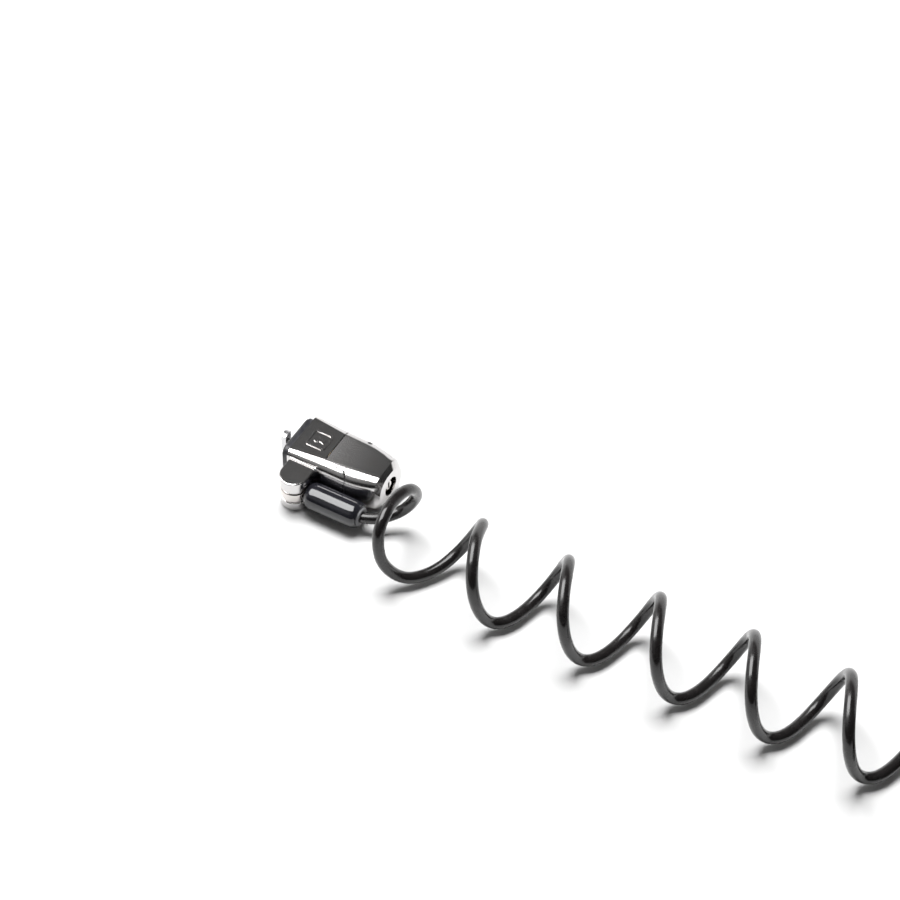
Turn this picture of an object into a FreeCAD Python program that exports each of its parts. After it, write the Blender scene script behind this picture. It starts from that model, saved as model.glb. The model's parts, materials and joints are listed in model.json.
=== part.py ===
"""Keyed laptop cable lock: a lock head with a T-bar nose, a pivoting cable link and a coiled steel cable.

Frame, in millimetres: +X runs along the lock head from its nose to its key end, +Z is up, and the lock
lies on z = 0. The origin is on that surface, under the middle of the lock head and its link.
"""

import FreeCAD
import Part
import math
import os

V = FreeCAD.Vector
X_AXIS = V(1, 0, 0)
Z_AXIS = V(0, 0, 1)

# ---- lock head: outer shape -------------------------------------------------
HEAD_Y = 4.1            # the head's axis, across
HEAD_Z = 6.15           # the head's axis, above the surface it lies on
HALF_WIDTH = 8.1
HALF_HEIGHT = 6.15
FRONT_X = -10.7         # front of the chromed housing
TAPER_X = 5.0           # the sides run parallel up to here
SHOULDER_X = 15.6       # the flat top ends here, at the bevelled rim
SHOULDER_HALF_WIDTH = 6.4
END_X = 16.9            # end face with the keyhole
END_SECTION = (5.6, 5.0, 4.6)   # half width, half height and corner radius of the end face
TRIM = 0.01             # taken off above and below, so that the top and the underside are exactly flat
ASIDE = 20              # half width of the blocks that divide the head, well outside it
DOWEL_RADIUS = 0.6
DOWEL_DEPTH = 3.0       # bored this deep in both housings
DOWEL_Y = HEAD_Y + 6.5
DOWEL_Z = (HEAD_Z - 2.2, HEAD_Z + 2.2)
CROSS_PIN_X = 6.9       # the pin that keeps the barrel in the rear housing
CROSS_PIN_LEAN = 42     # degrees up from +Y
CROSS_PIN_RADIUS = 0.6
CROSS_PIN_REACH = (4.3, 7.9)    # from the head's axis

# ---- emblem ---------------------------------------------------------------------
EMBLEM_RISE = 0.22
EMBLEM_LINE = 0.42
EMBLEM_HALF = 2.9
EMBLEM_AHEAD = 0.3      # behind the middle of the front housing's flat top
BOW_RADIUS = 0.95
BOW_AHEAD = 0.7         # from the emblem's middle towards the nose
SKIRT_LENGTH = 2.3
FLAT_FRONT = 6.0        # half width of the flat top at the front
FLAT_SEAM = 4.7         # at the seam
FLAT_TAPER = 4.5        # where the sides begin to taper
FLAT_SHOULDER = 2.7     # at the shoulder

# ---- seam between the front and the rear housing ------------------------------
SEAM_X = -0.4
CHEEK_X = 7.0           # the front housing's near cheek reaches back to here
CHEEK_TOP = 12.1
CHEEK_ROUND = 2.2
CHEEK_INNER_Y = -1.9
SEAM_GAP = 0.06

# ---- nose ---------------------------------------------------------------------
DEVICE_X = -12.9        # the pad bears on the device here
COLLAR_X = -12.3
COLLAR_SECTION = (7.3, 5.4, 2.2)        # half width, half height and corner radius
PAD_SECTION = (6.9, 5.0, 2.0)
NOSE_MOUTH_RADIUS = 3.7
T_BAR_TIP_X = -17.1
T_HEAD_THICK = 1.7
T_HEAD_LONG = 6.4
T_HEAD_WIDE = 2.7
STEM_RADIUS = 1.2
PEG_TIP_X = -15.0
PEG_INNER = 1.55
PEG_OUTER = 3.25
PEG_HALF_HIGH = 1.3
NOSE_PLATE_RADIUS = 4.2
NOSE_PLATE_X = -11.6

# ---- lock works -----------------------------------------------------------------
CAVITY_RADIUS = 4.8
BUSH_RADIUS = 2.5
BUSH_END_X = -6.7
BARREL_FRONT_X = -1.0
BARREL_END_X = 15.5
ROTOR_FRONT_X = 8.05
ROTOR_END_X = 15.3
ROTOR_RADIUS = 2.95
STATOR_FRONT_X = 3.0
STATOR_RADIUS = 4.0
KEYWAY_FLOOR_X = 12.3
KEYWAY_RADIUS = 2.5
POST_RADIUS = 1.5
POST_END_X = 16.3       # nearly flush with the end face
POST_SLOT = 0.7         # wide
KEY_NOTCH = 1.0         # wide
SPINDLE_RADIUS = 1.0
KEYHOLE_RADIUS = 2.8
PIN_COUNT = 4
PIN_CIRCLE = 1.97
PIN_RADIUS = 0.42
PIN_LENGTHS = (4.0, 4.4, 4.2, 4.6)
SPRING_X = (3.6, 5.7)   # from the stator's floor to the driver pins
SPRING_WIRE = 0.08      # radius
SPRING_TURNS = 5
DOG_RADIUS = 2.3
DOG_X = (-3.2, 0.8)
DOG_PIN_X = -0.3
DOG_PIN_RADIUS = 0.4
STOP_X = (-2.9, -1.4)
LUG_RADIUS = 3.4
LUG_HALF_ANGLE = 16
KEY_TURN = 90
RUNNING = 0.05          # radial clearance of a running fit
PRESSED = 0.01          # radial clearance left between pressed parts

# ---- ears, pivot and link ----------------------------------------------------------
PIVOT_X = -5.7
PIVOT_Y = -8.1
EAR_RADIUS = 4.1
EAR_LOW = (0.0, 2.95)
EAR_HIGH = (6.65, 10.6)
PIN_R = 1.5
PIN_Z = (0.3, 9.6)
EYE_Z = (3.14, 6.46)
EYE_POCKET = 0.3
WASHER_THICK = 0.15
LINK_Z = 4.8            # height of the link, the swivel and the cable where it leaves
SHANK_RADIUS = 1.7
SHANK_X = 5.2
SHANK_HEAD_X = 6.6
SHANK_HEAD_RADIUS = 2.45

# ---- swivel and sleeve ------------------------------------------------------------
FERRULE_X = (-1.0, 14.4)
FERRULE_RADIUS = 3.15
SWIVEL_CAVITY = (2.6, 6.9)      # radius and depth
CORE_X = (7.4, 11.0)
CORE_RADIUS = 1.1
SLEEVE_X = (-1.3, 14.7)
SLEEVE_RADIUS = 3.85
END_RING_X = 15.3
END_RING_RADIUS = 2.6

# ---- cable ------------------------------------------------------------------------
CABLE_RADIUS = 1.6
COIL_MEAN_RADIUS = 11.15
COIL_AIM = (49.4, -14.0)        # a point on the coil's axis
COIL_TURNED = 1.84              # the coil's axis is this many degrees off +X
COIL_X = (23.5, 180.0)          # turns that are pulled apart
CLOSED_X = 232.0                # the turns between COIL_X[1] and here lie closed up
TAIL_ROUTE = [(0, 0), (9, 4), (18, 2), (26, -0.3)]      # along X and Y from the coil's end face
CRIMP_LENGTH = 14.0
CRIMP_RADIUS = 1.95
CRIMP_WALL = 1.5                # of the cover, at its ends
COVER_RADIUS = 2.5
STRAND_PITCH = 4.0              # the two strands in the loop's crimp are this far apart
LOOP_ROUTE = [(0, -2), (11, -3), (23, -9), (36, -16), (49, -16), (58.5, -6.8),
              (58.5, 6.8), (49, 16), (36, 16), (23, 9), (11, 3), (0, 2)]


def cyl(radius, start, length, axis=X_AXIS):
    return Part.makeCylinder(radius, length, start, axis)


def on_head(radius, x0, x1):
    """A cylinder on the lock head's axis."""
    return cyl(radius, V(x0, HEAD_Y, HEAD_Z), x1 - x0)


def on_cable(radius, x0, x1):
    """A cylinder on the swivel's axis, which the cable leaves along."""
    return cyl(radius, V(x0, PIVOT_Y, LINK_Z), x1 - x0)


def on_pivot(radius, z0, z1):
    return cyl(radius, V(PIVOT_X, PIVOT_Y, z0), z1 - z0, Z_AXIS)


def box(x0, x1, y0, y1, z0, z1):
    return Part.makeBox(x1 - x0, y1 - y0, z1 - z0, V(x0, y0, z0))


def tube(outer, inner):
    return outer.cut(inner)


def arc(centre, u, v, radius, a0, a1):
    """A circular arc in the plane of u and v, from angle a0 to a1 in degrees."""
    def at(angle):
        a = math.radians(angle)
        return centre + u * (radius * math.cos(a)) + v * (radius * math.sin(a))
    return Part.Arc(at(a0), at((a0 + a1) / 2), at(a1)).toShape()


def section(x, half_width, half_height, corner, y=HEAD_Y, z=HEAD_Z):
    """A rounded rectangle across the head, as one wire of eight edges."""
    u = V(0, 1, 0)
    v = V(0, 0, 1)
    dy = half_width - corner
    dz = half_height - corner
    edges = []
    corners = [(dy, dz, 0), (-dy, dz, 90), (-dy, -dz, 180), (dy, -dz, 270)]
    for i, (cy, cz, a0) in enumerate(corners):
        bend = arc(V(x, y + cy, z + cz), u, v, corner, a0, a0 + 90)
        ny, nz, n0 = corners[(i + 1) % 4]
        turn = math.radians(n0)
        start = V(x, y + ny + corner * math.cos(turn), z + nz + corner * math.sin(turn))
        edges += [bend, Part.makeLine(bend.lastVertex().Point, start)]
    return Part.Wire(edges)


def rounded_bar(x0, x1, half_width, half_height, corner):
    face = Part.Face(section(x0, half_width, half_height, corner))
    return face.extrude(V(x1 - x0, 0, 0))


def head_envelope():
    """The whole head: parallel sides, then a bullet-shaped taper in plan, then a bevelled rim at its end."""
    half_height = HALF_HEIGHT + TRIM
    places = [(FRONT_X, FLAT_FRONT), (SEAM_X, FLAT_SEAM), (TAPER_X, FLAT_TAPER)]
    front = [section(x, HALF_WIDTH, half_height, HALF_WIDTH - flat) for x, flat in places]
    taper = []
    for step in range(5):
        t = step / 4
        half_width = HALF_WIDTH - (HALF_WIDTH - SHOULDER_HALF_WIDTH) * t * t
        flat = FLAT_TAPER - (FLAT_TAPER - FLAT_SHOULDER) * t * t
        x = TAPER_X + (SHOULDER_X - TAPER_X) * t
        taper.append(section(x, half_width, half_height, half_width - flat))
    end = section(END_X, *END_SECTION)
    straight = Part.makeLoft(front, True, True)
    bullet = Part.makeLoft(taper, True, False)
    rim = Part.makeLoft([taper[-1], end], True, True)
    body = straight.fuse([bullet, rim]).removeSplitter()
    return body.common(box(FRONT_X - 1, END_X + 1, HEAD_Y - ASIDE, HEAD_Y + ASIDE, 0, 2 * HALF_HEIGHT))


def cheek():
    """The space of the front housing's near cheek, with a rounded upper rear corner."""
    y0 = HEAD_Y - HALF_WIDTH - 1
    block = box(SEAM_X - 0.5, CHEEK_X, y0, CHEEK_INNER_Y, -1, CHEEK_TOP)
    corner = [e for e in block.Edges
              if abs(e.BoundBox.XMin - CHEEK_X) < 1e-6 and abs(e.BoundBox.ZMin - CHEEK_TOP) < 1e-6]
    return block.makeFillet(CHEEK_ROUND, corner)


def front_space():
    """Everything in front of the seam."""
    slab = box(FRONT_X - 1, SEAM_X, HEAD_Y - ASIDE, HEAD_Y + ASIDE, -1, ASIDE)
    return slab.fuse(cheek()).removeSplitter()


def ear(z0, z1):
    plate = on_pivot(EAR_RADIUS, z0, z1)
    root = box(PIVOT_X - EAR_RADIUS, PIVOT_X + EAR_RADIUS, PIVOT_Y, HEAD_Y - HALF_WIDTH + 2.2, z0, z1)
    return plate.fuse(root).removeSplitter()


def emblem():
    """A plain raised keyhole in a rounded frame, on the flat top of the front housing."""
    base = 2 * HALF_HEIGHT - EMBLEM_RISE
    tall = 2 * EMBLEM_RISE
    x = (FRONT_X + SEAM_X) / 2 + EMBLEM_AHEAD

    def plate(h):
        block = Part.makeBox(2 * h, 2 * h, tall, V(x - h, HEAD_Y - h, base))
        return block.makeFillet(h * 0.35, [e for e in block.Edges if abs(e.Length - tall) < 1e-6])

    frame = plate(EMBLEM_HALF).cut(plate(EMBLEM_HALF - EMBLEM_LINE))
    bow_x = x - BOW_AHEAD
    bow = Part.makeCylinder(BOW_RADIUS, tall, V(bow_x, HEAD_Y, base))
    outline = [(bow_x, -0.35), (bow_x + SKIRT_LENGTH, -0.75), (bow_x + SKIRT_LENGTH, 0.75), (bow_x, 0.35)]
    corners = [V(along, HEAD_Y + across, base) for along, across in outline]
    skirt = Part.Face(Part.makePolygon(corners + corners[:1])).extrude(V(0, 0, tall))
    return frame, bow.fuse(skirt)


def dowels(radius, x0, x1):
    return [cyl(radius, V(x0, DOWEL_Y, z), x1 - x0) for z in DOWEL_Z]


def retaining_pin(radius, inner, outer):
    """A pin through the rear housing's far upper corner into the barrel, square to the head's axis."""
    lean = math.radians(CROSS_PIN_LEAN)
    out = V(0, math.cos(lean), math.sin(lean))
    start = V(CROSS_PIN_X, HEAD_Y, HEAD_Z) + out * inner
    return cyl(radius, start, outer - inner, out)


def front_housing(envelope):
    shell = envelope.common(front_space())
    shell = shell.fuse([ear(*EAR_LOW), ear(*EAR_HIGH)]).removeSplitter()
    frame, keyhole = emblem()
    shell = shell.fuse([frame, keyhole])
    hollow = on_head(CAVITY_RADIUS, BUSH_END_X, END_X)
    nose = on_head(BUSH_RADIUS + PRESSED, FRONT_X - 1, BUSH_END_X)
    pin = on_pivot(PIN_R + PRESSED, -1, PIN_Z[1])
    pocket = on_pivot(EAR_RADIUS + EYE_POCKET, EAR_LOW[1], EAR_HIGH[0])
    bores = dowels(DOWEL_RADIUS + PRESSED, SEAM_X - DOWEL_DEPTH, SEAM_X + 1)
    return shell.cut([hollow, nose, pin, pocket] + bores).removeSplitter()


def rear_housing(envelope):
    slab = box(FRONT_X - 1, SEAM_X + SEAM_GAP, HEAD_Y - ASIDE, HEAD_Y + ASIDE, -1, ASIDE)
    near = cheek()
    near.translate(V(SEAM_GAP, SEAM_GAP, SEAM_GAP))
    shell = envelope.cut([slab, near, cheek()])
    bore = on_head(CAVITY_RADIUS, FRONT_X, BARREL_END_X)
    keyhole = on_head(KEYHOLE_RADIUS, BARREL_END_X - 1, END_X + 1)
    bores = dowels(DOWEL_RADIUS + PRESSED, SEAM_X - 1, SEAM_X + DOWEL_DEPTH)
    cross = retaining_pin(CROSS_PIN_RADIUS + PRESSED, CROSS_PIN_REACH[0] - 1, ASIDE)
    return shell.cut([bore, keyhole, cross] + bores).removeSplitter()


def nose_collar():
    block = rounded_bar(COLLAR_X, FRONT_X, *COLLAR_SECTION)
    seat = on_head(NOSE_PLATE_RADIUS + PRESSED, NOSE_PLATE_X, FRONT_X)
    mouth = on_head(NOSE_MOUTH_RADIUS, COLLAR_X - 1, FRONT_X)
    return block.cut([seat, mouth])


def face_pad():
    block = rounded_bar(DEVICE_X, COLLAR_X, *PAD_SECTION)
    return block.cut(on_head(NOSE_MOUTH_RADIUS, DEVICE_X - 1, COLLAR_X + 1))


def guide_pegs():
    """A steel plate behind the pad, with two pegs that fill the slot's ends beside the stem."""
    plate = on_head(NOSE_PLATE_RADIUS, NOSE_PLATE_X, FRONT_X)
    plate = plate.cut(on_head(STEM_RADIUS + RUNNING, NOSE_PLATE_X - 1, FRONT_X + 1))
    pegs = []
    for side in (-1, 1):
        y0, y1 = sorted((HEAD_Y + side * PEG_INNER, HEAD_Y + side * PEG_OUTER))
        peg = box(PEG_TIP_X, NOSE_PLATE_X + 0.2, y0, y1, HEAD_Z - PEG_HALF_HIGH, HEAD_Z + PEG_HALF_HIGH)
        tips = [e for e in peg.Edges if abs(e.BoundBox.XMax - PEG_TIP_X) < 1e-6]
        pegs.append(peg.makeChamfer(0.25, tips))
    return plate.fuse(pegs).removeSplitter()


def front_bush():
    body = on_head(BUSH_RADIUS, FRONT_X, BUSH_END_X)
    flange = on_head(3.6, BUSH_END_X, BUSH_END_X + 0.7)
    return body.fuse(flange).removeSplitter().cut(on_head(STEM_RADIUS + RUNNING, FRONT_X - 1, BUSH_END_X + 1))


def wedge(radius, x0, x1, mid_angle, half_angle):
    """A sector of a cylinder on the head's axis. Angles go from +Y towards +Z."""
    slice_ = Part.makeCylinder(radius, x1 - x0, V(0, 0, 0), Z_AXIS, 2 * half_angle)
    slice_.rotate(V(0, 0, 0), Z_AXIS, mid_angle - half_angle)
    # stand the sector's own axis along +X: its x becomes Y and its y becomes Z
    turn = FreeCAD.Matrix(0, 0, 1, x0, 1, 0, 0, HEAD_Y, 0, 1, 0, HEAD_Z, 0, 0, 0, 1)
    return slice_.transformGeometry(turn)


def t_bar():
    """Head, stem, stop flange and the tongue that the drive dog turns. Its arms stand upright when locked."""
    head_end = T_BAR_TIP_X + T_HEAD_THICK
    head = box(T_BAR_TIP_X, head_end, HEAD_Y - T_HEAD_WIDE / 2, HEAD_Y + T_HEAD_WIDE / 2,
               HEAD_Z - T_HEAD_LONG / 2, HEAD_Z + T_HEAD_LONG / 2)
    head = head.common(on_head(T_HEAD_LONG / 2, T_BAR_TIP_X, head_end))
    front = [e for e in head.Edges if abs(e.BoundBox.XMax - T_BAR_TIP_X) < 1e-6]
    head = head.makeChamfer(0.3, front)
    stem = on_head(STEM_RADIUS, head_end, DOG_X[0] - 0.1)
    flange = on_head(2.2, BUSH_END_X + 0.8, BUSH_END_X + 1.8)
    tongue = box(DOG_X[0] - 0.1, DOG_X[0] + 1.6, HEAD_Y - 0.55, HEAD_Y + 0.55, HEAD_Z - 1.1, HEAD_Z + 1.1)
    return head.fuse([stem, flange, tongue]).removeSplitter()


def drive_dog():
    """The hub that joins the spindle to the T-bar, with the lug that its stop ring limits."""
    hub = on_head(DOG_RADIUS, *DOG_X)
    lug = wedge(LUG_RADIUS, STOP_X[0] + 0.1, STOP_X[1] - 0.1, 0, LUG_HALF_ANGLE)
    hub = hub.fuse(lug).removeSplitter()
    slot = box(DOG_X[0] - 1, DOG_X[0] + 1.7, HEAD_Y - 0.57, HEAD_Y + 0.57, HEAD_Z - 3, HEAD_Z + 3)
    slot = slot.common(on_head(1.3, DOG_X[0] - 1, DOG_X[0] + 1.7))
    bore = on_head(SPINDLE_RADIUS + PRESSED, DOG_X[0] + 2.0, DOG_X[1] + 1)
    cross = dog_pin(DOG_PIN_RADIUS + PRESSED, 4)
    return hub.cut([slot, bore, cross])


def dog_pin(radius, half_length):
    """The pin across the hub and the spindle."""
    return cyl(radius, V(DOG_PIN_X, HEAD_Y, HEAD_Z - half_length), 2 * half_length, Z_AXIS)


def stop_ring():
    """A ring fixed in the housing. The lug of the drive dog turns a quarter turn in its notch."""
    ring = on_head(CAVITY_RADIUS - PRESSED, *STOP_X)
    bore = on_head(DOG_RADIUS + 0.15, STOP_X[0] - 1, STOP_X[1] + 1)
    spare = 3
    notch = wedge(LUG_RADIUS + 0.25, STOP_X[0] - 1, STOP_X[1] + 1, KEY_TURN / 2,
                  KEY_TURN / 2 + LUG_HALF_ANGLE + spare)
    return ring.cut([bore, notch])


def spindle():
    """The shaft behind the keyway, with the slotted post that the key is guided by."""
    shaft = on_head(SPINDLE_RADIUS, DOG_X[0] + 2.1, KEYWAY_FLOOR_X)
    post = on_head(POST_RADIUS, KEYWAY_FLOOR_X, POST_END_X)
    rim = [e for e in post.Edges if abs(e.BoundBox.XMin - POST_END_X) < 1e-6]
    post = post.makeChamfer(0.25, rim)
    slot = box(POST_END_X - 1.8, POST_END_X + 1, HEAD_Y - POST_SLOT / 2, HEAD_Y + POST_SLOT / 2,
               HEAD_Z - 1.0, HEAD_Z + POST_RADIUS)
    groove = tube(on_head(2, 2.25, 2.85), on_head(0.75, 2, 3))
    cross = dog_pin(DOG_PIN_RADIUS + PRESSED, 4)
    return shaft.fuse(post).removeSplitter().cut([slot, groove, cross])


def spindle_clip():
    ring = tube(on_head(2.2, 2.3, 2.8), on_head(0.76, 2, 3))
    return ring.cut(box(2, 3, HEAD_Y - 0.5, HEAD_Y + 0.5, HEAD_Z - 3, HEAD_Z))


def pin_places():
    for i in range(PIN_COUNT):
        angle = math.radians(45 + 360 * i / PIN_COUNT)
        yield HEAD_Y + PIN_CIRCLE * math.cos(angle), HEAD_Z + PIN_CIRCLE * math.sin(angle)


def pin_holes(x0, x1):
    return [cyl(PIN_RADIUS + 0.03, V(x0, y, z), x1 - x0) for y, z in pin_places()]


def key_rotor():
    """The rotor that the key turns: keyway behind, tumbler holes in front."""
    body = on_head(ROTOR_RADIUS, ROTOR_FRONT_X, ROTOR_END_X)
    keyway = on_head(KEYWAY_RADIUS, KEYWAY_FLOOR_X, ROTOR_END_X + 1)
    bore = on_head(SPINDLE_RADIUS + PRESSED, ROTOR_FRONT_X - 1, KEYWAY_FLOOR_X + 1)
    notch = box(KEYWAY_FLOOR_X, ROTOR_END_X + 1, HEAD_Y - KEY_NOTCH / 2, HEAD_Y + KEY_NOTCH / 2,
                HEAD_Z + KEYWAY_RADIUS - 0.5, HEAD_Z + ROTOR_RADIUS)
    notch = notch.common(on_head(KEYWAY_RADIUS + 0.25, KEYWAY_FLOOR_X, ROTOR_END_X + 1))
    return body.cut([keyway, bore, notch] + pin_holes(ROTOR_FRONT_X - 1, KEYWAY_FLOOR_X + 1))


def group(solids):
    return Part.makeCompound(solids)


def key_pins():
    pins = []
    for (y, z), length in zip(pin_places(), PIN_LENGTHS):
        pin = cyl(PIN_RADIUS, V(ROTOR_FRONT_X, y, z), length)
        tip = [e for e in pin.Edges if abs(e.BoundBox.XMin - ROTOR_FRONT_X - length) < 1e-6]
        pins.append(pin.makeChamfer(0.12, tip))
    return group(pins)


def pin_stator():
    """The fixed disc in front of the rotor, which holds the driver pins and their springs."""
    body = on_head(STATOR_RADIUS - PRESSED, STATOR_FRONT_X, ROTOR_FRONT_X - 0.05)
    bore = on_head(SPINDLE_RADIUS + RUNNING, STATOR_FRONT_X - 1, ROTOR_FRONT_X + 1)
    return body.cut([bore] + pin_holes(SPRING_X[0], ROTOR_FRONT_X))


def driver_pins():
    length = ROTOR_FRONT_X - 0.06 - SPRING_X[1]
    return group([cyl(PIN_RADIUS, V(SPRING_X[1], y, z), length) for y, z in pin_places()])


def coil_spring(radius, wire, length, turns, start):
    """A helical spring along +X."""
    helix = Part.makeHelix(length / turns, length, radius)
    profile = Part.Wire([Part.makeCircle(wire, V(radius, 0, 0), V(0, 1, 0))])
    spring = Part.Wire(helix.Edges).makePipeShell([profile], True, True)
    spring.rotate(V(0, 0, 0), V(0, 1, 0), 90)
    spring.translate(start)
    return spring


def pin_springs():
    end_gap = SPRING_WIRE + 0.01
    start = SPRING_X[0] + end_gap
    length = SPRING_X[1] - SPRING_X[0] - 2 * end_gap
    radius = PIN_RADIUS - SPRING_WIRE - 0.02
    return group([coil_spring(radius, SPRING_WIRE, length, SPRING_TURNS, V(start, y, z))
                  for y, z in pin_places()])


def barrel_shell():
    """The brass barrel that holds the stator and the rotor."""
    body = on_head(CAVITY_RADIUS - PRESSED, BARREL_FRONT_X, BARREL_END_X)
    stator_bore = on_head(STATOR_RADIUS, BARREL_FRONT_X - 1, ROTOR_FRONT_X - 0.05)
    rotor_bore = on_head(ROTOR_RADIUS + RUNNING, ROTOR_FRONT_X - 0.1, BARREL_END_X + 1)
    cross = retaining_pin(CROSS_PIN_RADIUS + PRESSED, CROSS_PIN_REACH[0], ASIDE)
    return body.cut([stator_bore, rotor_bore, cross])


def pivot_pin():
    pin = on_pivot(PIN_R, *PIN_Z)
    return pin.makeChamfer(0.25, [e for e in pin.Edges if e.Length > 2 and len(e.Vertexes) == 1])


def pivot_washers():
    rings = []
    for z0 in (EYE_Z[0] - 0.01 - WASHER_THICK, EYE_Z[1] + 0.01):
        rings.append(tube(on_pivot(3.6, z0, z0 + WASHER_THICK), on_pivot(PIN_R + RUNNING, z0 - 1, z0 + 1)))
    return group(rings)


def cable_link():
    """The eye on the pivot pin, and the shank whose head is held by the swivel."""
    eye = on_pivot(EAR_RADIUS, *EYE_Z)
    eye = eye.makeFillet(0.5, [e for e in eye.Edges if e.Length > 2 and len(e.Vertexes) == 1])
    shank = on_cable(SHANK_RADIUS - 0.08, PIVOT_X + 2, SHANK_X + 0.1)
    head = on_cable(SHANK_HEAD_RADIUS, SHANK_X, SHANK_HEAD_X)
    return eye.fuse([shank, head]).removeSplitter().cut(on_pivot(PIN_R + RUNNING, 0, 10))


def swivel_bush():
    body = on_cable(SWIVEL_CAVITY[0] - PRESSED, FERRULE_X[0], SHANK_X - 0.1)
    return body.cut(on_cable(SHANK_RADIUS - 0.08 + RUNNING, FERRULE_X[0] - 1, SHANK_X + 1))


def crimp_ferrule():
    """The steel ferrule: it holds the swivel in front and is crimped on the cable behind."""
    body = on_cable(FERRULE_RADIUS, *FERRULE_X)
    swivel = on_cable(SWIVEL_CAVITY[0], FERRULE_X[0] - 1, SWIVEL_CAVITY[1])
    core = on_cable(CORE_RADIUS, CORE_X[0], CORE_X[1])
    coat = on_cable(CABLE_RADIUS, CORE_X[1], FERRULE_X[1] + 1)
    grooves = [tube(on_cable(FERRULE_RADIUS + 1, x, x + 0.7), on_cable(FERRULE_RADIUS - 0.25, x - 1, x + 2))
               for x in (8.2, 10.0, 11.8)]
    return body.cut([swivel, core, coat] + grooves)


def cable_core():
    return on_cable(CORE_RADIUS, *CORE_X)


def cable_sleeve():
    body = on_cable(SLEEVE_RADIUS, *SLEEVE_X)
    body = body.makeFillet(1.1, [e for e in body.Edges if e.Length > 2 and len(e.Vertexes) == 1])
    bore = on_cable(FERRULE_RADIUS, SLEEVE_X[0] - 1, FERRULE_X[1])
    mouth = on_cable(END_RING_RADIUS, FERRULE_X[1] - 1, SLEEVE_X[1] + 1)
    return body.cut([bore, mouth])


def sleeve_end_ring():
    ring = on_cable(END_RING_RADIUS, FERRULE_X[1], END_RING_X)
    rim = [e for e in ring.Edges if len(e.Vertexes) == 1 and abs(e.BoundBox.XMin - END_RING_X) < 1e-6]
    return ring.makeFillet(0.3, rim).cut(on_cable(CABLE_RADIUS, FERRULE_X[1] - 1, END_RING_X + 1))


def coil_y(x):
    """Where the coil's axis is, across, at x."""
    return COIL_AIM[1] + (x - COIL_AIM[0]) * math.tan(math.radians(COIL_TURNED))


def fat_coil(x0, x1):
    """The outer shape of the coil's turns, as one solid that lies on the surface."""
    radius = COIL_MEAN_RADIUS + CABLE_RADIUS
    turned = math.radians(COIL_TURNED)
    along = V(math.cos(turned), math.sin(turned), 0)
    start = V(x0 - 2, coil_y(x0 - 2), radius)
    body = cyl(radius, start, x1 - x0 + 4, along)
    return body.common(box(x0, x1, -60, 60, -1, 60))


def path(points):
    """Straight runs joined by the largest tangent arcs that they allow. Returns the wire and the radii."""
    edges = []
    radii = []
    start = points[0]
    for before, corner, after in zip(points, points[1:], points[2:]):
        a = before - corner
        b = after - corner
        half_turn = (math.pi - a.getAngle(b)) / 2
        reach = 0.45 * min(a.Length, b.Length)
        radii.append(reach / math.tan(half_turn))
        a.normalize()
        b.normalize()
        enter = corner + a * reach
        leave = corner + b * reach
        to_centre = a + b
        to_centre.normalize()
        middle = corner + to_centre * (radii[-1] / math.cos(half_turn) - radii[-1])
        edges += [Part.LineSegment(start, enter).toShape(), Part.Arc(enter, middle, leave).toShape()]
        start = leave
    edges.append(Part.LineSegment(start, points[-1]).toShape())
    return Part.Wire(edges), radii


def cable_along(name, points):
    wire, radii = path(points)
    face = Part.Wire([Part.makeCircle(CABLE_RADIUS, points[0], points[1] - points[0])])
    solid = wire.makePipeShell([face], True, False)
    expected = math.pi * CABLE_RADIUS ** 2 * wire.Length
    print(name, "length", round(wire.Length, 1), "volume off by", round(solid.Volume / expected - 1, 4),
          "radii", [round(r, 1) for r in radii])
    return solid


def tail_start():
    return V(CLOSED_X, coil_y(CLOSED_X) + 2.0, CABLE_RADIUS + 0.1)


def cable_tail():
    start = tail_start()
    return cable_along("cable_tail", [start + V(x, y, 0) for x, y in TAIL_ROUTE])


def crimp_place():
    """The middle of the loop crimp's rear face."""
    end = tail_start() + V(TAIL_ROUTE[-1][0], TAIL_ROUTE[-1][1], 0)
    return end + V(0, STRAND_PITCH / 2, 0)


def oval(x0, x1, radius, centre):
    """A bar along X that wraps two strands side by side."""
    half = STRAND_PITCH / 2
    bars = [cyl(radius, V(x0, centre.y + side * half, centre.z), x1 - x0) for side in (-1, 1)]
    middle = box(x0, x1, centre.y - half, centre.y + half, centre.z - radius, centre.z + radius)
    return bars[0].fuse([bars[1], middle]).removeSplitter()


def crimp_centre():
    return V(crimp_place().x, crimp_place().y, COVER_RADIUS - 0.05)


def loop_crimp():
    centre = crimp_centre()
    return oval(centre.x + CRIMP_WALL, centre.x + CRIMP_LENGTH - CRIMP_WALL, CRIMP_RADIUS, centre)


def loop_crimp_cover():
    centre = crimp_centre()
    return oval(centre.x, centre.x + CRIMP_LENGTH, COVER_RADIUS, centre).cut(loop_crimp())


def cable_loop():
    start = crimp_place() + V(CRIMP_LENGTH, 0, 0)
    return cable_along("cable_loop", [start + V(x, y, 0) for x, y in LOOP_ROUTE])


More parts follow.
